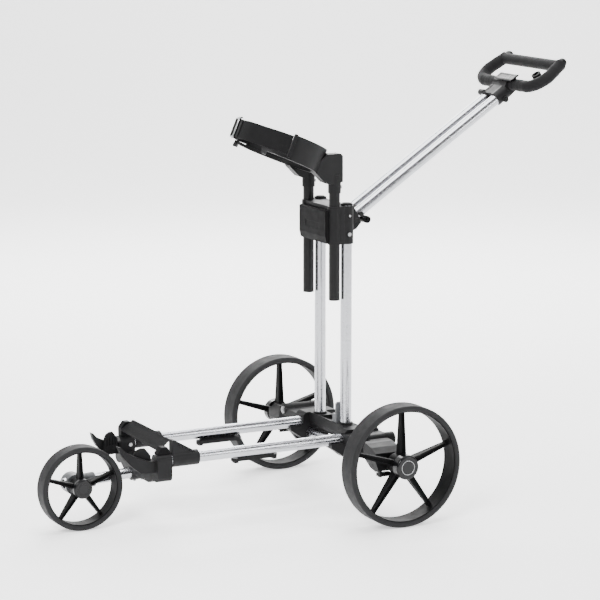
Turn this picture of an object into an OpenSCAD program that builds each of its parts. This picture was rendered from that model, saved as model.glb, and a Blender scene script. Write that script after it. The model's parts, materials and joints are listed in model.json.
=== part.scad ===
// Golf push trolley with three wheels, folding mast and folding wheel arms.
// Millimetres. X points forward, Y to the left, Z up. The origin is on the ground
// midway between the two rear wheels.

/* [Node] */
// Sub-part to draw, or "all"

/* [Wheels] */
// Outside radius of the rear tyres
rear_radius = 150; // [148:1:152]
// Width of the rear tyres
rear_width = 60; // [58:1:62]
// Radius of the open space inside the rear rims
rear_opening = 134.5; // [133:0.5:135]
// Distance between the middles of the rear tyres
track = 650; // [648:1:652]
// Outside radius of the front tyre
front_radius = 103; // [102:1:104]
// Width of the front tyre
front_width = 48; // [46:1:48]
// Radius of the open space inside the front rim
front_opening = 88.5; // [87:0.5:89]
// Distance from the rear axle to the front axle
wheel_base = 703; // [700:1:706]
// Spokes in each wheel
spoke_count = 5; // [4:1:6]
// Radius of the wheel axles
axle_radius = 6; // [6:1:6]

/* [Frame] */
// Radius of the uprights, lower tubes and handle tubes
tube_radius = 14; // [14:0.5:14]
// Wall of the round tubes
tube_wall = 1.5; // [1:0.1:2]
// Sideways distance from the middle plane to each lower tube
lower_tube_y = 109.5; // [109:0.5:110]
// Height of the lower tubes
lower_tube_z = 174; // [173:0.5:175]
// Radius of the front tube
front_tube_radius = 13.5; // [13:0.5:13.5]
// Sideways place of the front tube
front_tube_y = -40; // [-41:0.5:-40]
// Downward slope of the front tube in degrees
front_tube_drop = 2.6; // [2:0.1:3]

/* [Mast] */
// Sideways distance from the middle plane to each upright
upright_y = 68.7; // [68:0.1:69]
// Forward place of the uprights
upright_x = 14; // [13.5:0.5:14.5]
// Forward place of the bag carrier posts
post_x = 47.5; // [47:0.5:48]
// Radius of the bag carrier posts
post_radius = 13.5; // [13:0.5:13.5]
// Height of the top of the top block
block_top = 751; // [748:1:753]
// Height of the top block itself
block_height = 94; // [90:1:98]

/* [Bag carrier] */
// Outside radius of the cradle
cradle_radius = 112; // [111:0.5:112]
// Upward tilt of the cradle in degrees
cradle_tilt = 23.5; // [22:0.5:25]

/* [Handle] */
// Rise of the handle above level in degrees
handle_rise = 33.5; // [32:0.5:35]
// Sideways distance from the middle plane to each handle tube
handle_tube_y = 23; // [22.5:0.5:23]
// Distance along the handle from its hinge to the pivot of the grip loop
loop_pivot = 557.6; // [550:0.1:565]
// Half width of the straight front bar of the grip loop
loop_half = 95; // [93:1:97]
// Radius of the foam grip
foam_radius = 15; // [14.5:0.5:15]
// Inside radius of the accessory socket
socket_radius = 8; // [7:0.5:8]

/* [Hidden] */
$fn = 96;
slip = 0.05;
hidden_gap = 0.1;

rear_axle_z = rear_radius;
front_axle_z = front_radius;
rear_wheel_y = track / 2;

hinge_x = 12;
hinge_z = 178;
hinge_pin = 6;
foot_radius = 20;
foot_top = 201;
foot_half = 89;

housing_in = 91;
housing_out = 130;
housing_top = 200;
cross_x = 28;
cross_z = 146;

arm_pivot_y = 200;
arm_pivot_z = 186;
arm_knuckle = 15;
cheek_knuckle = 16;
web_out = 182;
web_top = 191;
arm_end = 288;
arm_back = -23.7;
arm_front = 28;
lever_y = 283;
lever_z = 119;

sleeve_back = 443;
beam_back = 517;
beam_front = 555;
block_bottom = block_top - block_height;

handle_x = -22;
handle_z = 710;
clamp_start = 500;
loop_lift = 7;
loop_core_radius = 9;
loop_bend = 45;
loop_toe = 15;
loop_side = 47;
crossbar_u = 91;
socket_x = -38;
socket_y = 102;

cradle_x = 161;
cradle_z = 902;
cradle_wall = 6;

// ---------- helpers ----------

module rod_x(y, z, r, x0, x1) {
  translate([x0, y, z]) rotate([0, 90, 0]) cylinder(r = r, h = x1 - x0);
}

module rod_y(x, z, r, y0, y1) {
  translate([x, y0, z]) rotate([-90, 0, 0]) cylinder(r = r, h = y1 - y0);
}

module rod_z(x, y, r, z0, z1) {
  translate([x, y, z0]) cylinder(r = r, h = z1 - z0);
}

// Extrudes a drawing of (y, z) points along X.
module along_x(x0, x1) {
  translate([x0, 0, 0]) rotate([90, 0, 90]) linear_extrude(x1 - x0) children();
}

// Extrudes a drawing of (x, z) points along Y.
module along_y(y0, y1) {
  translate([0, y1, 0]) rotate([90, 0, 0]) linear_extrude(y1 - y0) children();
}

module round_rect(w, h, r) {
  square([w - 2 * r, h], center = true);
  square([w, h - 2 * r], center = true);
  for (sx = [-1, 1], sy = [-1, 1])
    translate([sx * (w / 2 - r), sy * (h / 2 - r)]) circle(r);
}

module box(x0, x1, y0, y1, z0, z1) {
  translate([x0, y0, z0]) cube([x1 - x0, y1 - y0, z1 - z0]);
}

module other_side() {
  mirror([0, 1, 0]) children();
}

module both_sides() {
  children();
  mirror([0, 1, 0]) children();
}

// Round tube along Z from z0 to z1.
module pipe(r, wall, z0, z1) {
  translate([0, 0, z0]) difference() {
    cylinder(r = r, h = z1 - z0);
    translate([0, 0, -1]) cylinder(r = r - wall, h = z1 - z0 + 2);
  }
}

// ---------- wheels ----------

// Puts a wheel drawn round Z on its axle; its outer face is +Z.
module on_axle(side, x, y, z) {
  translate([x, y, z]) rotate([-90 * side, 0, 0]) children();
}

module tyre(radius, width, opening, corner) {
  seat = opening + 3.5 + hidden_gap;
  inner = opening + 2;
  rotate_extrude() difference() {
    translate([(radius + inner) / 2, 0]) round_rect(radius - inner, width, corner);
    translate([inner - 1, -width / 2 + 5.5]) square([seat - inner + 1, width - 11]);
  }
}

module spoke(start, end, wide, narrow, deep, shallow) {
  difference() {
    intersection() {
      linear_extrude(4 * deep, center = true)
        polygon([[start, -wide], [end, -narrow], [end, narrow], [start, wide]]);
      along_y(-wide, wide)
        polygon([[start, -deep], [end, -shallow], [end, shallow], [start, deep]]);
    }
    for (face = [0, 1]) mirror([0, 0, face]) intersection() {
      linear_extrude(4 * deep, center = true)
        polygon([
          [start + 8, 3.5 - wide], [end - 8, 2.4 - narrow],
          [end - 8, narrow - 2.4], [start + 8, wide - 3.5]
        ]);
      along_y(-wide, wide)
        polygon([[start, deep - 5], [end, shallow - 3.5], [end, 2 * deep], [start, 2 * deep]]);
    }
  }
}

module rim(opening, half, hub, hub_in, hub_out, seat_in, seat_out, wide, narrow, side) {
  difference() {
    union() {
      rotate_extrude() translate([opening, -half]) square([3.5, 2 * half]);
      for (k = [0 : spoke_count - 1])
        rotate([0, 0, k * 360 / spoke_count - 90 * side])
          spoke(hub - 4, opening + 0.5, wide, narrow, 11, 6);
      rotate_extrude() union() {
        translate([0, -hub_in]) square([hub - 8, hub_in + hub_out]);
        translate([0, 8 - hub_in]) square([hub, hub_in + hub_out - 8]);
        translate([hub - 8, 8 - hub_in]) circle(8);
      }
    }
    translate([0, 0, -hub_in - 1]) cylinder(r = 9, h = hub_in + hub_out + 2);
    translate([0, 0, -hub_in - 1]) cylinder(r = 14 + slip, h = hub_in + 1 + seat_in);
    translate([0, 0, seat_out]) cylinder(r = 14 + slip, h = hub_out);
  }
}

module bearing_pair(low, high) {
  for (z0 = [low, high])
    translate([0, 0, z0]) difference() {
      cylinder(r = 14, h = 7.8);
      translate([0, 0, -1]) cylinder(r = axle_radius + slip, h = 10);
    }
}

module hub_cap(r, z0, z1, inside, floor_z) {
  rotate_extrude() difference() {
    union() {
      translate([0, z0]) square([r - 5, z1 - z0]);
      translate([0, z0]) square([r, z1 - z0 - 5]);
      translate([r - 5, z1 - 5]) circle(5);
    }
    translate([0, z0 - 1]) square([inside, floor_z - z0 + 1]);
    translate([r * 0.55, z1 - 0.8]) square([1.2, 2]);
  }
}

module axle(z0, collar0, collar1, washer0, washer1, z1) {
  translate([0, 0, z0]) cylinder(r = axle_radius, h = z1 - z0);
  translate([0, 0, collar0]) cylinder(r = 9, h = collar1 - collar0);
  translate([0, 0, washer0]) cylinder(r = 10, h = washer1 - washer0);
}

module on_rear(side) {
  on_axle(side, 0, side * rear_wheel_y, rear_axle_z) children();
}

module on_front() {
  on_axle(1, wheel_base, 0, front_axle_z) children();
}

module rear_tyre(side) {
  color("#2b2c2e") on_rear(side) tyre(rear_radius, rear_width, rear_opening, 6.5);
}

module rear_rim(side) {
  color("#1c1d1f") on_rear(side)
    rim(rear_opening, 24.5, 26, 30, 16, -22, 6, 8, 4.6, side);
}

module rear_cap(side) {
  color("#151618") on_rear(side) hub_cap(30, 12, 35, 26.1, 30);
}

module rear_bearings(side) {
  color("#b9bcc0") on_rear(side) bearing_pair(-29.9, 6.1);
}

module rear_axle(side) {
  color("#a9acb0") on_rear(side) axle(-60, -36, -30.6, 14.8, 17.8, 20);
}

module tyre_left() rear_tyre(1);
module tyre_right() rear_tyre(-1);
module rim_left() rear_rim(1);
module rim_right() rear_rim(-1);
module hub_cap_left() rear_cap(1);
module hub_cap_right() rear_cap(-1);
module bearings_left() rear_bearings(1);
module bearings_right() rear_bearings(-1);
module axle_left() rear_axle(1);
module axle_right() rear_axle(-1);

module tyre_front() {
  color("#2b2c2e") on_front() tyre(front_radius, front_width, front_opening, 5.5);
}

module rim_front() {
  color("#1c1d1f") on_front()
    rim(front_opening, 18.5, 22, 24, 15, -16, 3, 6, 3.6, 1);
}

module hub_cap_front() {
  color("#151618") on_front() hub_cap(24, 11.4, 24, 22.1, 20);
}

module bearings_front() {
  color("#b9bcc0") on_front() bearing_pair(-23.9, 3.1);
}

module front_axle() {
  color("#a9acb0") on_front() {
    translate([0, 0, -66]) cylinder(r = axle_radius, h = 81);
    translate([0, 0, -66]) cylinder(r = 10, h = 3.8);
    translate([0, 0, 11.4]) cylinder(r = 10, h = 2.6);
  }
}

// ---------- frame ----------

module lower_tube_space(x0, x1) {
  rod_x(lower_tube_y, lower_tube_z, tube_radius + slip, x0, x1);
}

module lower_tube() {
  color("#c9ccd0") translate([0, lower_tube_y, lower_tube_z]) rotate([0, 90, 0])
    pipe(tube_radius, tube_wall, 26, 543);
}

module lower_tube_left() lower_tube();
module lower_tube_right() other_side() lower_tube();

module cross_tube() {
  color("#c9ccd0") translate([cross_x, 0, cross_z]) rotate([90, 0, 0])
    pipe(tube_radius, tube_wall, -housing_in + 0.2, housing_in - 0.2);
}

module housing() {
  color("#242527") difference() {
    union() {
      along_y(housing_in, housing_out)
        polygon([
          [-46, 152], [-46, 194], [-40, housing_top], [42, housing_top], [50, 193], [50, 168],
          [86, 168], [86, 157], [62, 141], [50, 131], [4, 131], [-20, 140]
        ]);
      rod_y(cross_x, cross_z, tube_radius - tube_wall - slip, housing_in - 16, housing_in + 1);
      box(-46, 50, housing_out - 1, web_out, 164, web_top);
      for (x = [[-46, -24], [28.3, 50]]) {
        box(x[0], x[1], web_out - 1, arm_pivot_y, 170, web_top);
        rod_x(arm_pivot_y, arm_pivot_z, cheek_knuckle, x[0], x[1]);
      }
    }
    lower_tube_space(25.5, 100);
    rod_y(hinge_x, hinge_z, hinge_pin + slip, housing_in - 1, 120);
    rod_x(arm_pivot_y, arm_pivot_z, hinge_pin + slip, -60, 60);
    rod_x(arm_pivot_y, arm_pivot_z, arm_knuckle + 1.5, -24, 28.3);
  }
}

module housing_left() housing();
module housing_right() other_side() housing();

module frame_pins() {
  color("#9fa2a6") {
    rod_y(hinge_x, hinge_z, hinge_pin, -119, 119);
    both_sides() {
      rod_x(arm_pivot_y, arm_pivot_z, hinge_pin, -52, 56);
      rod_x(arm_pivot_y, arm_pivot_z, 9.5, 50.1, 54);
      rod_x(arm_pivot_y, arm_pivot_z, 9.5, -50, -46.1);
    }
  }
}

// Low grooved rest under each lower tube, with pointed ends and two small feet.
module tube_rails() {
  color("#1f2022") both_sides() difference() {
    union() {
      translate([0, 0, 150]) linear_extrude(7)
        polygon([[222, 100], [232, 86], [338, 86], [348, 100], [340, 114], [230, 114]]);
      box(238, 332, 103, 115, 156, 168);
      for (x = [228, 332]) box(x, x + 10, 94, 110, 145, 151);
    }
    lower_tube_space(220, 350);
    for (y = [89, 95]) box(238, 332, y, y + 3, 154.5, 160);
  }
}

module sleeves() {
  color("#242527") both_sides() difference() {
    union() {
      rod_x(lower_tube_y, lower_tube_z, 18.5, sleeve_back, 512);
      along_y(lower_tube_y - 11, lower_tube_y + 11)
        polygon([[447, 184], [512, 184], [512, 223], [506, 223], [450, 190]]);
    }
    lower_tube_space(sleeve_back - 1, 513);
    for (k = [0 : 4])
      translate([458 + 9 * k, lower_tube_y + 9, 186 + 5.2 * k]) cube([3.5, 3, 60]);
  }
}

// Everything on the front tube is drawn along +X from the front axle line.
module on_front_tube() {
  translate([wheel_base, front_tube_y, front_axle_z + 3.5])
    rotate([0, front_tube_drop, 0]) rotate([0, 90, 0]) children();
}

module front_tube_space(r, a, b) {
  on_front_tube() translate([0, 0, a]) cylinder(r = r, h = b - a);
}

module lower_beam() {
  color("#242527") difference() {
    union() {
      both_sides() along_x(beam_back, beam_front)
        translate([110, 157]) round_rect(37, 66, 14);
      along_x(beam_back, beam_front)
        polygon([
          [-108, 134], [-78, 116], [-70, 114], [70, 114], [78, 116], [108, 134],
          [108, 150], [74, 154], [-74, 154], [-108, 150]
        ]);
      front_tube_space(19, -213, -149);
    }
    both_sides() lower_tube_space(beam_back - 1, 544);
    front_tube_space(front_tube_radius + slip, -200, -140);
  }
}

module wing_outline() {
  polygon([
    [beam_front + 0.2, 148], [590, 148.5], [606, 160], [622, 178], [634, 196], [640, 214],
    [634, 212], [621, 199], [606, 191], [592, 185], [571, 177], [beam_front + 0.2, 175]
  ]);
}

module wing_shell(inner, outer) {
  translate([540, -78, 120]) difference() {
    cylinder(r = outer, h = 110);
    translate([0, 0, -1]) cylinder(r = inner, h = 112);
  }
}

module wings() {
  color("#242527") both_sides() intersection() {
    wing_shell(182, 194);
    along_y(60, 125) wing_outline();
  }
}

module wing_pads() {
  color("#1a1b1c") both_sides() difference() {
    intersection() {
      wing_shell(176.5, 181.9);
      along_y(60, 125)
        polygon([
          [560, 160], [604, 160], [601, 192], [595, 202], [586, 206.5], [576, 206.5], [569, 198],
          [562, 188]
        ]);
    }
    intersection() {
      wing_shell(175, 178.6);
      for (k = [0 : 3]) box(567 + 8 * k, 570 + 8 * k, 60, 125, 172, 199 - 2 * k);
    }
  }
}

module strap_keeper(top) {
  difference() {
    along_y(98.5, 119)
      polygon([
        [519, 190.2], [551, 190.2], [551, top - 14], [540, top], [526, top], [519, top - 9]
      ]);
    box(524, 541, 103, 113, top - 13, top - 8);
  }
}

// The keeper on the right stands higher, so the strap slopes.
module strap_keepers() {
  color("#1c1d1f") {
    strap_keeper(208);
    other_side() strap_keeper(226);
  }
}

module lower_strap() {
  color("#141516") translate([530, 0, 214]) rotate([-3.2, 0, 3.5]) rotate([0, 38, 0])
    translate([-20, -96, -1.2]) cube([40, 192, 2.4]);
}

module front_tube() {
  color("#c9ccd0") difference() {
    on_front_tube() pipe(front_tube_radius, tube_wall, -198, 26);
    rod_y(wheel_base, front_axle_z, axle_radius + slip, -70, 0);
  }
}

module front_carrier() {
  color("#55585c") difference() {
    union() {
      rod_y(wheel_base, front_axle_z, 26, -62, -25.2);
      front_tube_space(18, -52, 0);
    }
    front_tube_space(front_tube_radius + slip, -60, 40);
    rod_y(wheel_base, front_axle_z, axle_radius + slip, -70, 0);
    rod_y(wheel_base, front_axle_z, 40, -25.2, 10);
  }
}

module frame_screws() {
  color("#8d9094") {
    both_sides() {
      rod_y(530, 170, 4.5, 88.6, 91.4);
      rod_y(-26, 154, 4, 130.1, 132.6);
      rod_y(34, 152, 4, 130.1, 132.6);
    }
    on_front_tube() for (a = [-180, -160])
      translate([19.1, 0, a]) rotate([0, 90, 0]) cylinder(r = 4, h = 3);
  }
}

// ---------- wheel arms ----------

module arm() {
  color("#242527") difference() {
    union() {
      rod_x(arm_pivot_y, arm_pivot_z, arm_knuckle, arm_back, arm_front);
      along_x(arm_back, arm_front)
        polygon([[200, 194], [226, 191], [232, 172], [200, 174]]);
      difference() {
        along_x(arm_back, 50)
          polygon([
            [222, 191], [240, 190], [264, 184], [arm_end, 174], [arm_end, 130], [268, 124],
            [246, 130], [230, 150], [226, 171]
          ]);
        box(-60, -8, 238, 300, 100, 141);
        along_y(220, 300)
          polygon([[38, 120], [52, 120], [52, 160]]);
      }
      rod_y(0, rear_axle_z, 20, 258, arm_end);
      for (x = [-8, 32.3]) along_x(x, x + 5.7)
        polygon([[277, 114.5], [arm_end, 114.5], [arm_end, 136], [274, 136]]);
    }
    rod_x(arm_pivot_y, arm_pivot_z, hinge_pin + slip, -60, 60);
    rod_y(0, rear_axle_z, axle_radius + slip, 264, 300);
    rod_x(lever_y, lever_z, 2.5 + slip, -20, 60);
  }
}

module arm_left() arm();
module arm_right() other_side() arm();

// Release paddle under the arm.
module arm_lever() {
  color("#17181a") difference() {
    union() {
      rod_x(lever_y, lever_z, 4.3, -2, 32);
      rod_x(lever_y, lever_z, 2.5, -8, 38);
      box(-2, 32, 260, lever_y, 116, 120);
      box(-2, 32, 258, 262, 112, 120);
    }
    for (x = [2, 17]) box(x, x + 11, 265, 276, 115, 121);
  }
}

module arm_lever_left() arm_lever();
module arm_lever_right() other_side() arm_lever();

// ---------- mast ----------

module upright() {
  color("#c9ccd0") translate([upright_x, upright_y, 0])
    pipe(tube_radius, tube_wall, 187, block_top + 1);
}

module upright_left() upright();
module upright_right() other_side() upright();

module mast_foot() {
  color("#242527") difference() {
    union() {
      along_y(-foot_half, foot_half) {
        translate([hinge_x, hinge_z]) circle(foot_radius);
        translate([-8, hinge_z]) square([41, foot_top - hinge_z]);
      }
      both_sides() rod_z(upright_x, upright_y, 18, foot_top - 8, foot_top + 4);
    }
    rod_y(hinge_x, hinge_z, hinge_pin + slip, -100, 100);
    both_sides() rod_z(upright_x, upright_y, tube_radius + slip, 186.5, 260);
    box(1.7, 31.3, 29.7, 50.3, 190, 260);
    box(-4, 29, -38, 38, 192, 260);
  }
}

module latch_slider() {
  color("#6b6e72") difference() {
    union() {
      box(2, 31, 30, 50, 191, 222);
      box(2, 31, 44, 50, 221, 250);
      box(5, 28, 44, 50, 249, 253);
      box(6, 27, 38, 45, 238, 243);
    }
    rod_y(16.5, 231, 2.5, 40, 60);
    box(6, 27, 28, 34, 198, 216);
  }
}

module block_plan() {
  for (s = [-1, 1]) {
    translate([upright_x, s * upright_y]) circle(17.2);
    translate([post_x, s * upright_y]) circle(16.6);
    translate([upright_x, s * upright_y - 13]) square([post_x - upright_x, 26]);
  }
  translate([2, -upright_y]) square([58.9, 2 * upright_y]);
}

module top_block() {
  color("#242527") difference() {
    union() {
      translate([0, 0, block_bottom]) linear_extrude(block_height) block_plan();
      both_sides() along_y(46.4, 54)
        polygon([[8, 748], [-14, 744], [-20, 736], [-36, 704], [-22, 688], [8, 676]]);
    }
    both_sides() {
      rod_z(upright_x, upright_y, tube_radius + slip, 600, 800);
      rod_z(post_x, upright_y, post_radius + slip, 600, 800);
      rod_y(upright_x, 681, 5, 84, 90);
    }
    rod_y(handle_x, handle_z, 5 + slip, -60, 60);
    box(12, 50, -44, 44, 600, block_top - 6);
  }
}

module top_cover() {
  color("#202123") difference() {
    union() {
      along_y(-69.6, 69.6)
        polygon([
          [61, block_top - 10], [61, block_bottom + 2], [69, block_bottom + 2],
          [73, block_bottom + 19], [73, block_top - 13], [70, block_top - 10]
        ]);
      both_sides() along_y(69.5, 72.6)
        polygon([
          [61, block_top - 12], [61, block_bottom + 4], [67, block_bottom + 4],
          [70.5, block_bottom + 19], [70.5, block_top - 14], [68, block_top - 12]
        ]);
    }
    both_sides() rod_z(post_x, upright_y, 16.8, 600, 800);
    box(72.3, 75, -36, 36, block_bottom + 34, block_bottom + 50);
  }
}

module mast_caps() {
  color("#17181a") both_sides() {
    rod_z(upright_x, upright_y, 15.3, block_top + 1.1, block_top + 5);
    rod_z(upright_x, upright_y, tube_radius - tube_wall - slip, block_top - 12, block_top + 2);
    rod_z(upright_x, upright_y, 11, block_top + 4, block_top + 7);
  }
}

module mast_fasteners() {
  color("#9fa2a6") {
    both_sides() {
      rod_y(upright_x, 727, 3, 85.95, 88);
      rod_y(upright_x, 681, 4.6, 84.3, 87);
    }
  }
}

// ---------- bag carrier ----------

module posts() {
  color("#1b1c1e") both_sides() translate([post_x, upright_y, 0]) {
    pipe(post_radius, tube_wall, 520, 800);
    rod_z(0, 0, post_radius, 517, 520.5);
  }
}

// The cradle lies in a plane tilted upward to the front.
module on_cradle() {
  translate([cradle_x, 0, cradle_z]) rotate([0, -cradle_tilt, 0]) children();
}

module sector(r0, r1, z0, z1, a0, a1) {
  rotate([0, 0, a0]) rotate_extrude(angle = a1 - a0)
    translate([r0, z0]) square([r1 - r0, z1 - z0]);
}

module elbows() {
  color("#2a2b2d") both_sides() difference() {
    union() {
      rod_z(post_x, upright_y, 16, 784, 830);
      along_y(upright_y - 14.2, upright_y + 14.2)
        polygon([
          [31.5, 812], [31.5, 876], [37, 882], [72, 882], [100, 864], [111, 846], [104, 836],
          [80, 812], [63.5, 806]
        ]);
    }
    rod_z(post_x, upright_y, post_radius + slip, 780, 800.5);
    on_cradle() translate([0, 0, -34.2]) cylinder(r = cradle_radius + hidden_gap, h = 100);
  }
}

module upper_cradle() {
  inner = cradle_radius - cradle_wall;
  color("#1f2022") on_cradle() {
    rotate([0, 0, 76]) rotate_extrude(angle = 208) polygon([
      [inner, -26], [inner - 3, -26], [inner - 3, -34], [cradle_radius, -34],
      [cradle_radius, 28], [inner - 2, 28], [inner - 2, 24], [inner, 24]
    ]);
    for (a = [42, 282]) sector(inner - 2.7, cradle_radius - 0.3, -33.7, -26.3, a, a + 36);
    for (a = [75, 281.5]) sector(inner + 3, cradle_radius + 7, -29.5, 29.5, a, a + 3.5);
    for (a = [43, 311]) sector(inner - 2, cradle_radius + 1.6, -42, -33, a, a + 6);
  }
}

module upper_strap() {
  color("#141516") on_cradle() sector(cradle_radius + 0.6, cradle_radius + 3, -24, 24, -74, 74);
}

module strap_buckle() {
  color("#2a2b2d") on_cradle() {
    difference() {
      sector(cradle_radius + 3.4, cradle_radius + 8, -26, 26, -34, -13);
      sector(cradle_radius + 2, cradle_radius + 10, -19, 19, -29, -18);
    }
    rotate([0, 0, -31]) translate([cradle_radius + 10, 0, -23]) cylinder(r = 3.4, h = 46);
  }
}

module carrier_screws() {
  color("#8d9094") both_sides() rod_x(upright_y, 798, 4, post_x - 19.5, post_x - 16.1);
}

// ---------- handle ----------

// The handle is drawn along -X from its hinge.
module on_handle() {
  translate([handle_x, 0, handle_z]) rotate([0, handle_rise, 0]) children();
}

module handle_tubes() {
  color("#c9ccd0") on_handle() both_sides() difference() {
    translate([-15, handle_tube_y, 0]) rotate([0, -90, 0]) pipe(tube_radius, tube_wall, 0, 515);
    rod_y(-23.5, 0, 3 + slip, 0, 60);
  }
}

module handle_knuckle() {
  color("#17181a") on_handle() difference() {
    union() {
      rod_y(0, 0, tube_radius, -45.9, 45.9);
      both_sides() rod_x(handle_tube_y, 0, tube_radius - tube_wall - slip, -44, 0);
      along_y(-3, 3) polygon([[0, -10], [-10, -10], [-31, -16], [-31, -24], [-20, -25]]);
      box(-40, -8, -8.5, 8.5, -8, 8);
    }
    rod_y(0, 0, 5 + slip, -60, 60);
    rod_y(-23.5, 0, 3 + slip, -60, 60);
    rod_y(-25, -19.5, 2.5 + slip, -5, 5);
  }
}

module handle_fasteners() {
  color("#2e3033") on_handle() {
    rod_y(0, 0, 5, -53.8, 53.8);
    rod_y(-23.5, 0, 3, -44, 44);
    both_sides() rod_y(-23.5, 0, 6, 37.3, 44.5);
    rod_y(-516, -9, 4, 46.1, 48.5);
    rod_y(-506, 12, 4, -49.5, -47.1);
  }
}

module handle_lever() {
  color("#17181a") on_handle() {
    rod_y(-25, -19.5, 2.5, -8, 8);
    rod_y(-25, -19.5, 5, 3.5, 38);
    rod_y(-25, -19.5, 5, -8, -3.5);
    along_y(12, 37)
      difference() {
        translate([-32, -26]) circle(9);
        translate([-29, -22]) circle(4.2);
      }
  }
}

// Two sockets for the handle tubes and the collar that the grip loop turns in.
module grip_clamp() {
  color("#242527") on_handle() difference() {
    union() {
      both_sides() rod_x(handle_tube_y, 0, 17.5, -536, -clamp_start);
      along_y(-handle_tube_y, handle_tube_y)
        polygon([[-clamp_start - 3, -16.5], [-clamp_start - 3, 16.5], [-538, 16.5], [-538, -16.5]]);
      rod_y(-516, -9, 7, 26, 46);
      rod_y(-506, 12, 8, -47, -26);
      along_y(-32, 32) translate([-loop_pivot, loop_lift]) circle(18.5);
      along_y(-32, 32) polygon([[-525, 12], [-546, 20], [-560, -12], [-537, -15]]);
    }
    both_sides() rod_x(handle_tube_y, 0, tube_radius + slip, -531, -470);
    rod_y(-loop_pivot, loop_lift, loop_core_radius + slip, -60, 60);
    rod_y(-loop_pivot, loop_lift, 21.4, 32, 60);
    rod_y(-loop_pivot, loop_lift, 21.4, -60, -32);
  }
}

// The grip loop is drawn in its own plane, along -X from its pivot.
module on_loop() {
  on_handle() translate([-loop_pivot, 0, loop_lift]) children();
}

// Half front bar, bend and side of the loop. A low ridge covers each joint.
module loop_run(r, from, side_to) {
  ridge = 0.1;
  rod_y(0, 0, r, from, loop_half - 0.3);
  rod_y(0, 0, r + ridge, loop_half - 1, loop_half + 1);
  translate([-loop_bend, loop_half, 0]) {
    rotate_extrude(angle = 90 + loop_toe) translate([loop_bend, 0]) circle(r);
    rotate([0, 0, 90 + loop_toe]) translate([loop_bend, 0, 0]) rotate([-90, 0, 0]) {
      translate([0, 0, -1]) cylinder(r = r + ridge, h = 2);
      translate([0, 0, 0.3]) cylinder(r = r, h = side_to - 0.3);
    }
  }
}

// Solid moulded core of the grip loop, in two halves that meet inside the clamp collar.
module loop_core() {
  color("#5a5d61") on_loop() both_sides()
    loop_run(loop_core_radius, 0.2, loop_side);
}

module grip_foam() {
  color("#2a2b2d") on_loop() both_sides() difference() {
    loop_run(foam_radius, 34, loop_side - 2);
    loop_run(loop_core_radius + slip, 30, loop_side + 1);
  }
}

module loop_caps() {
  color("#1c1d1f") on_loop() both_sides()
    translate([-loop_bend, loop_half, 0]) rotate([0, 0, 90 + loop_toe])
      translate([loop_bend, 0, 0]) rotate([-90, 0, 0]) {
        translate([0, 0, loop_side + 0.1]) cylinder(r = 12, h = 3);
        translate([0, 0, loop_side + 3]) intersection() {
          sphere(r = 12);
          cylinder(r = 13, h = 13);
        }
      }
}

module crossbar() {
  color("#2a2b2d") on_loop() difference() {
    rod_y(-crossbar_u, 0, 14.5, -122, 122);
    both_sides() loop_run(foam_radius + slip, 90, loop_side + 30);
  }
}

// Flat console, set off to the left and clipped on the foam by one foot.
module console() {
  color("#1c1d1f") on_loop() difference() {
    union() {
      along_y(-20, 60)
        polygon([[12, 19], [12, 22], [8, 23.5], [-12, 23.5], [-15, 22], [-15, 19]]);
      box(-6, 6, 34.6, 57, 15.1, 19.5);
    }
    box(-9, 5, -12, 52, 22.7, 25);
    rod_y(0, 0, foam_radius + slip, 30, loop_half);
  }
}

module accessory_socket() {
  color("#17181a") on_loop() difference() {
    union() {
      rod_z(socket_x, socket_y, 12, -14, 12);
      translate([-loop_bend, loop_half, 0]) rotate([0, 0, 45]) box(10, 36, -6, 6, -6, 6);
    }
    rod_z(socket_x, socket_y, socket_radius, -20, 20);
    translate([-loop_bend, loop_half, 0])
      rotate_extrude(angle = 90 + loop_toe) translate([loop_bend, 0]) circle(foam_radius + slip);
  }
}

// ---------- drawing ----------

cross_tube();
lower_tube_left();
lower_tube_right();
housing_left();
housing_right();
tube_rails();
frame_pins();
sleeves();
lower_beam();
wings();
wing_pads();
strap_keepers();
lower_strap();
front_tube();
front_carrier();
front_axle();
frame_screws();
arm_left();
arm_right();
axle_left();
axle_right();
arm_lever_left();
arm_lever_right();
tyre_left();
rim_left();
hub_cap_left();
bearings_left();
tyre_right();
rim_right();
hub_cap_right();
bearings_right();
tyre_front();
rim_front();
hub_cap_front();
bearings_front();
upright_left();
upright_right();
mast_foot();
top_block();
top_cover();
mast_caps();
mast_fasteners();
latch_slider();
posts();
elbows();
upper_cradle();
upper_strap();
strap_buckle();
carrier_screws();
handle_tubes();
handle_knuckle();
handle_fasteners();
handle_lever();
grip_clamp();
loop_core();
grip_foam();
crossbar();
loop_caps();
console();
accessory_socket();
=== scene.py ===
import json
import math

import bpy
from mathutils import Matrix, Vector


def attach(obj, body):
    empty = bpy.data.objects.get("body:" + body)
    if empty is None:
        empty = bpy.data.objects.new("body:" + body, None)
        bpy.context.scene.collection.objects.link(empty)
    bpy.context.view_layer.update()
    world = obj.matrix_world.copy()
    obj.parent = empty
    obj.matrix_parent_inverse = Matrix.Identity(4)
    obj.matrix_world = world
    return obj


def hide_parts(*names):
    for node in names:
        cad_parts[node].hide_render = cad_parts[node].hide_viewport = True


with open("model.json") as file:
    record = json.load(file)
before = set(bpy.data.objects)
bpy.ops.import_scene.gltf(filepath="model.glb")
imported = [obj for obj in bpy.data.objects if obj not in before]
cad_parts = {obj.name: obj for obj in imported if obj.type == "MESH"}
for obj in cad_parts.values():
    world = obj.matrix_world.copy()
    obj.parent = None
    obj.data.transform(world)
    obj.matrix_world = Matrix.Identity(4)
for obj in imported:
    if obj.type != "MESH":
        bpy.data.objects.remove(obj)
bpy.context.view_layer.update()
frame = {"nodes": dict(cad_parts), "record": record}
NODES = frame["nodes"]


# ---------- materials ----------


def tint(colour, factor, lift=0.0):
    """The colour times a factor, kept at or below white."""
    return tuple(min(1.0, c * factor + lift) for c in colour)


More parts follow.
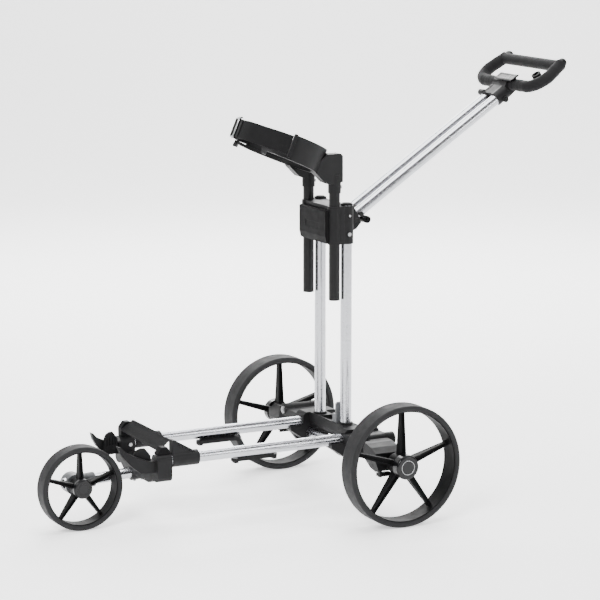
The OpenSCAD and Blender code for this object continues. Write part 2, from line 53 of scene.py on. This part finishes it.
def grey(level, blue=None):
    """A neutral colour, with a slightly different blue where one is given."""
    return (level, level, level if blue is None else blue)


class Shade:
    """Builds one node material in object space."""

    def __init__(self, name):
        self.material = bpy.data.materials.new(name)
        self.material.use_nodes = True
        self.tree = self.material.node_tree
        self.tree.nodes.clear()
        self.out = self.new("ShaderNodeOutputMaterial")
        self.bsdf = self.new("ShaderNodeBsdfPrincipled")
        self.link(self.bsdf.outputs["BSDF"], self.out.inputs["Surface"])
        self.space = self.new("ShaderNodeTexCoord").outputs["Object"]

    def new(self, kind, **settings):
        node = self.tree.nodes.new(kind)
        for key, value in settings.items():
            setattr(node, key, value)
        return node

    def link(self, a, b):
        self.tree.links.new(a, b)

    def put(self, socket, value):
        self.bsdf.inputs[socket].default_value = value

    def scaled(self, factors, space=None):
        node = self.new("ShaderNodeMapping")
        node.inputs["Scale"].default_value = factors
        self.link(space or self.space, node.inputs["Vector"])
        return node.outputs["Vector"]

    def noise(self, scale, detail=3, rough=0.5, space=None):
        node = self.new("ShaderNodeTexNoise")
        node.inputs["Scale"].default_value = scale
        node.inputs["Detail"].default_value = detail
        node.inputs["Roughness"].default_value = rough
        self.link(space or self.space, node.inputs["Vector"])
        return node.outputs["Fac"]

    def cells(self, scale, space=None):
        node = self.new("ShaderNodeTexVoronoi")
        node.inputs["Scale"].default_value = scale
        self.link(space or self.space, node.inputs["Vector"])
        return node.outputs["Distance"]

    def spread(self, value, low, high, from_low=0.3, from_high=0.7):
        node = self.new("ShaderNodeMapRange")
        node.inputs["From Min"].default_value = from_low
        node.inputs["From Max"].default_value = from_high
        node.inputs["To Min"].default_value = low
        node.inputs["To Max"].default_value = high
        self.link(value, node.inputs["Value"])
        return node.outputs["Result"]

    def maths(self, operation, a, b=None):
        node = self.new("ShaderNodeMath", operation=operation)
        for socket, value in zip(node.inputs, (a, b)):
            if value is None:
                continue
            if isinstance(value, (int, float)):
                socket.default_value = value
            else:
                self.link(value, socket)
        return node.outputs["Value"]

    def blend(self, factor, low, high):
        node = self.new("ShaderNodeMix", data_type="RGBA")
        if isinstance(factor, (int, float)):
            node.inputs["Factor"].default_value = factor
        else:
            self.link(factor, node.inputs["Factor"])
        for name, value in (("A", low), ("B", high)):
            socket = [s for s in node.inputs if s.name == name and s.type == "RGBA"][0]
            if isinstance(value, (tuple, list)):
                socket.default_value = (*value, 1.0)
            else:
                self.link(value, socket)
        return [s for s in node.outputs if s.type == "RGBA"][0]

    def edges(self, radius):
        """A rounded normal, and a mask that is 1 along sharp edges."""
        bevel = self.new("ShaderNodeBevel", samples=4)
        bevel.inputs["Radius"].default_value = radius
        plain = self.new("ShaderNodeNewGeometry").outputs["Normal"]
        dot = self.new("ShaderNodeVectorMath", operation="DOT_PRODUCT")
        self.link(bevel.outputs["Normal"], dot.inputs[0])
        self.link(plain, dot.inputs[1])
        mask = self.spread(dot.outputs["Value"], 1.0, 0.0, 0.80, 0.995)
        return bevel.outputs["Normal"], mask

    def bump(self, height, distance, strength=1.0, normal=None):
        node = self.new("ShaderNodeBump")
        node.inputs["Strength"].default_value = strength
        node.inputs["Distance"].default_value = distance
        self.link(height, node.inputs["Height"])
        if normal is not None:
            self.link(normal, node.inputs["Normal"])
        return node.outputs["Normal"]

    def finish(self, colour=None, rough=None, normal=None):
        for name, value in (("Base Color", colour), ("Roughness", rough), ("Normal", normal)):
            if value is not None:
                self.link(value, self.bsdf.inputs[name])
        return self.material


def moulded(name, colour, rough, grain, depth, edge_highlight, spec=0.45, coat=0.0, radius=0.0009):
    """Moulded plastic: spark-eroded grain, slow colour change and a painted highlight along the
    sharp edges.
    """
    s = Shade(name)
    rounded, edge_mask = s.edges(radius)
    slow = s.spread(s.noise(9, 4), 0.0, 1.0)
    dust = s.spread(s.noise(70, 5, 0.6), 0.0, 1.0, 0.35, 0.75)
    base = s.blend(slow, tint(colour, 0.82), tint(colour, 1.18))
    base = s.blend(s.maths("MULTIPLY", dust, 0.12), base, tint(colour, 2.0))
    # lighter along the sharp edges, towards the edge highlight colour: painted highlight
    base = s.blend(s.maths("MULTIPLY", edge_mask, 0.35), base, edge_highlight)
    fine = s.noise(grain, 2, 0.6)
    pits = s.cells(grain * 0.7)
    height = s.maths("ADD", fine, s.maths("MULTIPLY", pits, 0.7))
    roughness = s.spread(s.noise(40, 4), rough - 0.06, rough + 0.07)
    s.put("Specular IOR Level", spec)
    if coat:
        s.put("Coat Weight", coat)
        s.put("Coat Roughness", 0.08)
    return s.finish(base, roughness, s.bump(height, depth, 0.6, rounded))


def alloy(name, colour, rough, grain=2600):
    """Satin anodised tube: fine blasted grain with faint draw lines along it."""
    s = Shade(name)
    rounded, edge_mask = s.edges(0.0005)
    slow = s.spread(s.noise(14, 3), 0.0, 1.0)
    base = s.blend(slow, tint(colour, 0.95), tint(colour, 1.04))
    lines = s.noise(1, 3, 0.6, s.scaled((9, 240, 240)))
    base = s.blend(s.spread(lines, 0.0, 0.07), base, tint(colour, 0.72))
    base = s.blend(s.maths("MULTIPLY", edge_mask, 0.3), base, grey(0.9))
    uneven = s.maths("ADD", lines, s.noise(300, 2))
    roughness = s.spread(uneven, rough - 0.05, rough + 0.06, 0.7, 1.3)
    s.put("Metallic", 1.0)
    s.put("Anisotropic", 0.25)
    height = s.maths("ADD", s.noise(grain, 2), s.maths("MULTIPLY", lines, 0.3))
    return s.finish(base, roughness, s.bump(height, 0.00002, 0.25, rounded))


def coated(name, colour, rough, metallic=0.0, grain=1500):
    """Powder-coated or plated metal: orange-peel skin and rubbed edges."""
    s = Shade(name)
    rounded, edge_mask = s.edges(0.0004)
    slow = s.spread(s.noise(25, 3), 0.0, 1.0)
    base = s.blend(slow, tint(colour, 0.88), tint(colour, 1.1))
    base = s.blend(s.maths("MULTIPLY", edge_mask, 0.4), base, tint(colour, 1.6, 0.04))
    roughness = s.spread(s.noise(120, 3), rough - 0.05, rough + 0.07)
    s.put("Metallic", metallic)
    s.put("Specular IOR Level", 0.2)
    return s.finish(base, roughness, s.bump(s.noise(grain, 3), 0.00005, 0.6, rounded))


def tyre_rubber(name, colour):
    """Foam-filled tyre skin: matt, finely pitted, with faint scuffs."""
    s = Shade(name)
    rounded, _ = s.edges(0.0012)
    slow = s.spread(s.noise(11, 4, 0.6), 0.0, 1.0)
    scuff = s.spread(s.noise(1, 5, 0.7, s.scaled((60, 420, 60))), 0.0, 1.0, 0.55, 0.8)
    base = s.blend(slow, tint(colour, 0.86), tint(colour, 1.12))
    base = s.blend(s.maths("MULTIPLY", scuff, 0.18), base, tint(colour, 1.9))
    height = s.maths("ADD", s.noise(1400, 3, 0.65), s.maths("MULTIPLY", s.cells(700), 0.8))
    roughness = s.spread(s.noise(55, 4), 0.58, 0.74)
    s.put("Specular IOR Level", 0.16)
    s.put("Sheen Weight", 0.02)
    s.put("Sheen Roughness", 0.5)
    return s.finish(base, roughness, s.bump(height, 0.00012, 0.55, rounded))


def foam_skin(name, colour):
    """Closed-cell grip foam: dense little pores and a soft sheen."""
    s = Shade(name)
    slow = s.spread(s.noise(16, 4), 0.0, 1.0)
    pores = s.cells(1100)
    base = s.blend(slow, tint(colour, 0.84), tint(colour, 1.14))
    # darkest at the pore centres: painted shade in the pores
    base = s.blend(s.spread(pores, 0.25, 0.0, 0.0, 0.35), base, tint(colour, 0.45))
    height = s.maths("ADD", pores, s.maths("MULTIPLY", s.noise(2200, 2), 0.5))
    s.put("Sheen Weight", 0.05)
    s.put("Sheen Roughness", 0.45)
    s.put("Specular IOR Level", 0.10)
    return s.finish(base, s.spread(s.noise(60, 3), 0.66, 0.8), s.bump(height, 0.00022, 0.7))


def webbing(name, colour, warp=0.0011, weft=0.0016):
    """Woven strap: raised ribs along and across, from the strap's own UVs in metres."""
    s = Shade(name)
    uv = s.new("ShaderNodeUVMap", uv_map="strap").outputs["UV"]
    split = s.new("ShaderNodeSeparateXYZ")
    s.link(uv, split.inputs["Vector"])
    across = s.maths("SINE", s.maths("MULTIPLY", split.outputs["X"], math.pi / warp))
    along = s.maths("SINE", s.maths("MULTIPLY", split.outputs["Y"], math.pi / weft))
    weave = s.maths("MULTIPLY", across, along)
    lift = s.spread(weave, 0.0, 1.0, -1.0, 1.0)
    fuzz = s.noise(3000, 3)
    # raised ribs lighter and the hollows between them darker: painted highlight and painted
    # shade
    base = s.blend(lift, tint(colour, 0.55), tint(colour, 1.5))
    base = s.blend(s.spread(s.noise(35, 4), 0.0, 0.3), base, tint(colour, 2.2))
    height = s.maths("ADD", lift, s.maths("MULTIPLY", fuzz, 0.35))
    s.put("Sheen Weight", 0.08)
    s.put("Sheen Roughness", 0.35)
    s.put("Specular IOR Level", 0.12)
    return s.finish(base, s.spread(fuzz, 0.72, 0.88), s.bump(height, 0.0003, 0.8))


# moulded: colour, roughness, grain, bump depth, colour of the painted edge highlight, specular
# level, coat
MATERIALS = {
    "alloy": alloy("alloy", (0.46, 0.465, 0.49), 0.24),
    "black_plastic": moulded(
        "black_plastic", grey(0.0075, 0.0079), 0.46, 1500, 0.00009, grey(0.05), 0.12
    ),
    "dark_plastic": moulded(
        "dark_plastic", grey(0.0035, 0.0038), 0.52, 1900, 0.00006, grey(0.03), 0.05
    ),
    "gloss_plastic": moulded(
        "gloss_plastic", grey(0.0035, 0.0040), 0.30, 2400, 0.00003, grey(0.02), 0.18, 0.15
    ),
    "grey_plastic": moulded(
        "grey_plastic", (0.10, 0.104, 0.11), 0.44, 1500, 0.00007, grey(0.24), 0.35
    ),
    "black_tube": coated("black_tube", grey(0.003, 0.0033), 0.34),
    "steel": coated("steel", (0.36, 0.365, 0.37), 0.28, 1.0, 900),
    "tyre": tyre_rubber("tyre", grey(0.0125, 0.0132)),
    "foam": foam_skin("foam", grey(0.008, 0.0085)),
    "webbing": webbing("webbing", grey(0.0045, 0.0048)),
    "pad": moulded("pad", grey(0.006, 0.0063), 0.62, 1300, 0.0001, grey(0.02), 0.12),
}
SLOT_OF = {row["node"]: row["material_slot"] for row in frame["record"]["subparts"]}


def clad(obj, slot):
    """Puts one material on the whole object."""
    obj.data.materials.clear()
    obj.data.materials.append(MATERIALS[slot])


def smooth_by_angle(obj, degrees=32):
    """Smooth shading that keeps edges sharper than the angle."""
    mesh = obj.data
    mesh.polygons.foreach_set("use_smooth", [True] * len(mesh.polygons))
    mesh.set_sharp_from_angle(angle=math.radians(degrees))


for node_name, node in NODES.items():
    clad(node, SLOT_OF[node_name])
    smooth_by_angle(node)


# ---------- mesh helpers ----------


def mesh_piece(name, verts, faces, slot, body, uvs=None):
    """A visible piece from points and faces, riding on a body."""
    mesh = bpy.data.meshes.new(name)
    mesh.from_pydata([tuple(v) for v in verts], [], faces)
    if uvs is not None:
        layer = mesh.uv_layers.new(name="strap")
        for loop in mesh.loops:
            layer.data[loop.index].uv = uvs[loop.vertex_index]
    obj = bpy.data.objects.new(name, mesh)
    bpy.context.scene.collection.objects.link(obj)
    clad(obj, slot)
    smooth_by_angle(obj, 40)
    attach(obj, body)
    return obj


def lathe(name, profile, place, slot, body, steps=96):
    """Turns (radius, height) points round place's Z axis into a closed ring or disc."""
    verts, faces = [], []
    n = len(profile)
    for i in range(steps):
        a = math.tau * i / steps
        for r, z in profile:
            verts.append(place @ Vector((r * math.cos(a), r * math.sin(a), z)))
    for i in range(steps):
        j = (i + 1) % steps
        for k in range(n):
            m = (k + 1) % n
            faces.append((i * n + k, j * n + k, j * n + m, i * n + m))
    return mesh_piece(name, verts, faces, slot, body)


# one face of a strap with its two thicker selvedges: (part of half width, part of thickness)
STRAP_EDGE = [(1.0, 0.30), (0.97, 0.62), (0.90, 0.60), (0.86, 0.46), (0.5, 0.50)]
STRAP_FACE = [(-u, h) for u, h in STRAP_EDGE] + [(0.0, 0.52)] + STRAP_EDGE[::-1]


def strap_mesh(name, spine, sides, outs, width, thick, body):
    """A flat webbing strap: spine points, unit width and outward directions at each."""
    half = width / 2
    ring = STRAP_FACE + [(u, -h) for u, h in reversed(STRAP_FACE)]
    verts, uvs, faces = [], [], []
    run = 0.0
    for i, (p, w, o) in enumerate(zip(spine, sides, outs)):
        if i:
            run += (p - spine[i - 1]).length
        for u, h in ring:
            verts.append(p + w * (u * half) + o * (h * thick))
            uvs.append((u * half, run))
    n = len(ring)
    for i in range(len(spine) - 1):
        for k in range(n):
            m = (k + 1) % n
            faces.append((i * n + k, i * n + m, (i + 1) * n + m, (i + 1) * n + k))
    faces.append(tuple(range(n - 1, -1, -1)))
    last = (len(spine) - 1) * n
    faces.append(tuple(last + k for k in range(n)))
    return mesh_piece(name, verts, faces, "webbing", body, uvs)


# ---------- straps ----------

# the ring of the bag cradle: its centre, tilt and radius
CRADLE_CENTRE = (0.161, 0, 0.902)
CRADLE_TILT = math.radians(-23.5)
CRADLE = Matrix.Translation(CRADLE_CENTRE) @ Matrix.Rotation(CRADLE_TILT, 4, "Y")
CRADLE_TURN = CRADLE.to_3x3()
RING = 0.112
UPPER_WIDTH, UPPER_THICK, UPPER_REACH = 0.047, 0.0019, 74.2  # reach: degrees each side of front
LOWER_WIDTH, LOWER_THICK, LOWER_HALF_SPAN = 0.040, 0.0022, 0.0982


def ring_way(angle):
    """Unit direction away from the ring's axis, at an angle in radians."""
    return CRADLE_TURN @ Vector((math.cos(angle), math.sin(angle), 0))


def upper_strap():
    """Webbing round the open front of the cradle, slightly slack in the middle."""
    spine, sides, outs = [], [], []
    steps = 120
    r = RING + 0.0018
    for i in range(steps + 1):
        t = -1 + 2 * i / steps
        a = math.radians(UPPER_REACH * t)
        slack = max(0.0, 1 - t * t)
        drop = -0.0025 * slack + 0.0006 * math.sin(9 * t) * slack
        spine.append(CRADLE @ Vector((r * math.cos(a), r * math.sin(a), drop)))
        outs.append(ring_way(a))
        sides.append(CRADLE_TURN @ Vector((0, 0, 1)))
    return strap_mesh(
        "upper_strap_webbing", spine, sides, outs, UPPER_WIDTH, UPPER_THICK, "carrier"
    )


def lower_strap():
    """Webbing between the two keepers, sloped and slightly sagging."""
    spine, sides, outs = [], [], []
    steps = 90
    middle_x, middle_z = 0.530, 0.2135
    for i in range(steps + 1):
        t = -1 + 2 * i / steps
        tilt = math.radians(38 + 5 * t)
        slack = 1 - t * t
        x = middle_x - 0.006 * t - 0.002 * slack
        z = middle_z - 0.0055 * t - 0.003 * slack
        spine.append(Vector((x, LOWER_HALF_SPAN * t, z)))
        sides.append(Vector((math.cos(tilt), 0, -math.sin(tilt))))
        outs.append(Vector((math.sin(tilt), 0, math.cos(tilt))))
    return strap_mesh(
        "lower_strap_webbing", spine, sides, outs, LOWER_WIDTH, LOWER_THICK, "frame"
    )


top_webbing = upper_strap()
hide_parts("upper_strap")
low_webbing = lower_strap()
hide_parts("lower_strap")


# ---------- strap buckle ----------


def on_ring(radius, degrees, along):
    """A point on the cradle ring, along is measured across the strap."""
    a = math.radians(degrees)
    return CRADLE @ Vector((radius * math.cos(a), radius * math.sin(a), along))


def wire(name, points, radius, slot, body, closed=False, around=16):
    """A round bar swept along points."""
    n = len(points)
    verts, faces = [], []
    up = (CRADLE_TURN @ Vector((0.7, -0.4, 0.1))).normalized()  # along no bar of the buckle
    for i, p in enumerate(points):
        a = points[(i - 1) % n] if closed or i else p
        b = points[(i + 1) % n] if closed or i < n - 1 else p
        way = (b - a).normalized()
        out = (up - way * up.dot(way)).normalized()
        side = way.cross(out)
        for k in range(around):
            t = math.tau * k / around
            verts.append(p + out * (radius * math.cos(t)) + side * (radius * math.sin(t)))
    spans = n if closed else n - 1
    for i in range(spans):
        j = (i + 1) % n
        for k in range(around):
            m = (k + 1) % around
            faces.append((i * around + k, i * around + m, j * around + m, j * around + k))
    if not closed:
        faces.append(tuple(range(around - 1, -1, -1)))
        faces.append(tuple((n - 1) * around + k for k in range(around)))
    return mesh_piece(name, verts, faces, slot, body)


def buckle_frame():
    """Rounded rectangular wire frame that lies on the upper strap."""
    level, half, corner = RING + 0.0062, 0.0262, 0.0045
    low, high = -34.0, -15.0  # degrees round the ring
    middle = (low + high) / 2
    reach = math.radians(high - low) / 2 * level
    points = []
    for cx, cy, start in ((1, 1, 0), (-1, 1, 90), (-1, -1, 180), (1, -1, 270)):
        for step in range(7):
            a = math.radians(start + 15 * step)
            u = cx * (reach - corner) + corner * math.cos(a)
            v = cy * (half - corner) + corner * math.sin(a)
            points.append(on_ring(level, middle + math.degrees(u / level), v))
    return wire("buckle_frame", points, 0.0021, "steel", "carrier", closed=True)


def buckle_bar(name, degrees, radius, level):
    """Straight steel bar across the buckle: place round the ring, thickness and height."""
    points = [on_ring(level, degrees, 0.0255 * t / 6) for t in range(-6, 7)]
    return wire(name, points, radius, "steel", "carrier")


def strap_tail():
    """Doubled webbing that passes the roller and lies back over the strap."""
    spine, sides, outs = [], [], []
    steps = 40
    for i in range(steps + 1):
        t = i / steps
        a = -32.0 + 31.0 * t
        over_roller = math.exp(-(((t - 0.16) / 0.2) ** 2))
        lift = 0.0046 + 0.0062 * over_roller + 0.0004 * math.sin(14 * t)
        spine.append(on_ring(RING + lift, a, -0.0006 * t))
        outs.append(ring_way(math.radians(a)))
        sides.append(CRADLE_TURN @ Vector((0, 0, 1)))
    return strap_mesh("upper_strap_tail", spine, sides, outs, 0.044, 0.0017, "carrier")


def strap_loop():
    """Moulded loop that holds the tail down."""
    half, low, high = 0.0258, RING + 0.0036, RING + 0.0076
    degrees = -7.0
    corners = [(-half, low), (-half, high), (half, high), (half, low)]
    path = []
    for (v0, r0), (v1, r1) in zip(corners, corners[1:]):
        for step in range(8):
            f = step / 8
            path.append(on_ring(r0 + (r1 - r0) * f, degrees, v0 + (v1 - v0) * f))
    path.append(on_ring(low, degrees, half))
    return wire("strap_loop", path, 0.0016, "dark_plastic", "carrier")


frame_of_buckle = buckle_frame()
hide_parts("strap_buckle")
buckle_bar("buckle_roller", -31.5, 0.0030, RING + 0.0085)
buckle_bar("buckle_bar", -23.0, 0.0018, RING + 0.0064)
strap_tail()
strap_loop()


# ---------- grip foam ----------

# the loop's own frame, from the handle's pin up the sloping tubes
HANDLE_PIN = (-0.022, 0, 0.710)
HANDLE_SLOPE = math.radians(33.5)
PIN_TO_LOOP = (-0.5576, 0, 0.007)
LOOP = (
    Matrix.Translation(HANDLE_PIN)
    @ Matrix.Rotation(HANDLE_SLOPE, 4, "Y")
    @ Matrix.Translation(PIN_TO_LOOP)
)
# bend radius, half length of the straight bar, how far the sides turn in, foam on each side
BEND, BAR, TOE, SIDE = 0.045, 0.095, math.radians(15), 0.0450
FOAM_START = 0.0343
FOAM_RADIUS, CORE_RADIUS = 0.0150, 0.0091


def bend_point(angle):
    """A point of the loop's bend, with its angle counted from the straight bar."""
    return Vector((-BEND + BEND * math.cos(angle), BAR + BEND * math.sin(angle), 0))


def bend_way(angle):
    """The loop's direction at that point."""
    return Vector((-math.sin(angle), math.cos(angle), 0))


def loop_path(y_start, steps=56):
    """Centre line of half the grip loop: points and directions, straight bar, bend, side."""
    full_turn = math.pi / 2 + TOE
    straight, arc = BAR - y_start, BEND * full_turn
    total = straight + arc + SIDE
    path = []
    for i in range(steps + 1):
        d = total * i / steps
        if d < straight:
            path.append((Vector((0, y_start + d, 0)), Vector((0, 1, 0))))
        elif d - straight < arc:
            a = (d - straight) / BEND
            path.append((bend_point(a), bend_way(a)))
        else:
            way = bend_way(full_turn)
            path.append((bend_point(full_turn) + way * (d - straight - arc), way))
    return path


def foam_half(name, side):
    """Foam sleeve: slightly uneven skin, rounded ends, hollow where the core passes."""
    path = loop_path(FOAM_START)
    outer, inner = FOAM_RADIUS, CORE_RADIUS
    around = 40
    up = Vector((0, 0, 1))
    rings = []
    for i, (p, way) in enumerate(path):
        swell = 0.00022 * math.sin(i * 0.71) + 0.00015 * math.sin(i * 1.63 + 1.0)
        rings.append((p, way.cross(up), outer + swell))

    def ring(p, out, r):
        turns = [math.tau * k / around for k in range(around)]
        return [p + out * (r * math.cos(t)) + up * (r * math.sin(t)) for t in turns]

    def rounded_end(p, out, inward):
        """From the bore to the skin, over one end of the sleeve."""
        return [
            ring(p + inward * 0.0022, out, inner),
            ring(p, out, inner + 0.0006),
            ring(p, out, outer - 0.0018),
            ring(p + inward * 0.0006, out, outer - 0.0005),
        ]

    first, last = rings[0], rings[-1]
    loops = rounded_end(first[0], first[1], path[0][1])
    loops += [ring(*row) for row in rings[1:-1]]
    loops += rounded_end(last[0], last[1], -path[-1][1])[::-1]
    loops += [ring(p, out, inner) for p, out, _ in rings[-2:0:-1]]
    verts = [LOOP @ Vector((v.x, v.y * side, v.z)) for row in loops for v in row]
    faces = []
    count = len(loops)
    for i in range(count):
        j = (i + 1) % count
        for k in range(around):
            m = (k + 1) % around
            quad = (i * around + k, j * around + k, j * around + m, i * around + m)
            faces.append(quad if side > 0 else quad[::-1])
    return mesh_piece(name, verts, faces, "foam", "grip")


for label, side in (("left", 1), ("right", -1)):
    foam = foam_half(f"grip_foam_{label}", side)
    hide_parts("grip_foam")


# ---------- hub cap rings ----------


CAP_RING_RADIUS, CAP_RING_HALF_WIDTH = 0.0171, 0.0006
CAP_RING_FOOT, CAP_RING_TOP = 0.0343, 0.0352  # out from the wheel's middle plane
REAR_WHEEL_Y, REAR_AXLE_Z = 0.325, 0.150


def cap_ring_profile():
    """A low band with softened outer corners."""
    r, w, low, high = CAP_RING_RADIUS, CAP_RING_HALF_WIDTH, CAP_RING_FOOT, CAP_RING_TOP
    shoulder = high - (high - low) * 0.3
    return [
        (r - w, low),
        (r + w, low),
        (r + w, shoulder),
        (r + w * 0.6, high),
        (r - w * 0.6, high),
        (r - w, shoulder),
    ]


for wheel, side in (("left_wheel", 1), ("right_wheel", -1)):
    hub = Matrix.Translation((0, REAR_WHEEL_Y * side, REAR_AXLE_Z))
    place = hub @ Matrix.Rotation(math.radians(-90 * side), 4, "X")
    lathe(f"{wheel}_cap_ring", cap_ring_profile(), place, "steel", wheel)


# ---------- stage, light and camera ----------

CAMERA_SPOT = Vector((3.0027, 5.5960, 1.6675))
CAMERA_AIM = Vector((0.107, 0.0, 0.5111))
CAMERA_LENS, CAMERA_SENSOR = 154.84, 36.0  # millimetres


def stage_material():
    """Matt pale paint that glows a little, so that it reads as a lit studio sweep."""
    s = Shade("floor_paint")
    base = s.blend(s.spread(s.noise(0.6, 2), 0.0, 1.0), grey(0.93), grey(0.96))
    s.put("Emission Color", (1.0, 1.0, 1.0, 1.0))
    s.put("Emission Strength", 0.8)
    return s.finish(base, s.spread(s.noise(3, 2), 0.7, 0.8))


def floor():
    """A pale floor that curves up into a backdrop behind the trolley."""
    mesh = bpy.data.meshes.new("floor")
    reach, back, rise, bend, steps = 40.0, 6.0, 8.0, 2.5, 24
    gap = 0.0002  # the wheels stand just clear of the floor
    rows = [(-reach, 0.0)]
    for i in range(steps + 1):
        a = math.pi / 2 * i / steps
        rows.append((back + bend * math.sin(a), bend - bend * math.cos(a)))
    rows.append((back + bend, rise))
    sight = CAMERA_AIM - CAMERA_SPOT
    away = Vector((sight.x, sight.y, 0)).normalized()
    side = Vector((-away.y, away.x, 0))
    verts, faces = [], []
    for d, z in rows:
        for s in (-reach, reach):
            p = away * d + side * s
            verts.append((p.x, p.y, z - gap))
    for i in range(len(rows) - 1):
        faces.append((2 * i, 2 * i + 1, 2 * i + 3, 2 * i + 2))
    mesh.from_pydata(verts, [], faces)
    mesh.polygons.foreach_set("use_smooth", [True] * len(mesh.polygons))
    obj = bpy.data.objects.new("floor", mesh)
    bpy.context.scene.collection.objects.link(obj)
    obj.data.materials.append(stage_material())


def lamp(name, spot, aim, size, power):
    """A white rectangular area light: place, target, two sides and watts."""
    data = bpy.data.lights.new(name, "AREA")
    data.shape = "RECTANGLE"
    data.size, data.size_y = size
    data.energy = power
    obj = bpy.data.objects.new(name, data)
    obj.location = spot
    obj.rotation_mode = "QUATERNION"
    obj.rotation_quaternion = (Vector(aim) - Vector(spot)).to_track_quat("-Z", "Y")
    bpy.context.scene.collection.objects.link(obj)


floor()
LAMP_AIM = (0.1, 0.0, 0.45)
lamp("key", (3.4, 2.6, 3.4), LAMP_AIM, (1.8, 1.8), 300)
lamp("fill", (-2.8, 4.2, 2.2), LAMP_AIM, (1.6, 2.2), 150)
lamp("top", (0.0, 0.0, 4.4), LAMP_AIM, (3.0, 3.0), 260)
lamp("rim", (-1.5, -3.6, 2.6), LAMP_AIM, (3.0, 1.2), 170)
lamp("sweep", (-1.6, -2.9, 4.6), (-2.6, -5.2, 1.5), (5.0, 3.0), 520)

world = bpy.data.worlds.new("studio")
world.use_nodes = True
sky = world.node_tree.nodes["Background"].inputs
sky["Color"].default_value = (1, 1, 1, 1)
sky["Strength"].default_value = 0.28
bpy.context.scene.world = world

camera_data = bpy.data.cameras.new("camera")
camera_data.sensor_width = CAMERA_SENSOR
camera_data.lens = CAMERA_LENS
camera_data.clip_start = 0.1
camera_data.clip_end = 60.0
camera = bpy.data.objects.new("camera", camera_data)
camera.location = CAMERA_SPOT
camera.rotation_mode = "QUATERNION"
camera.rotation_quaternion = (CAMERA_AIM - CAMERA_SPOT).to_track_quat("-Z", "Y")
bpy.context.scene.collection.objects.link(camera)
bpy.context.scene.camera = camera
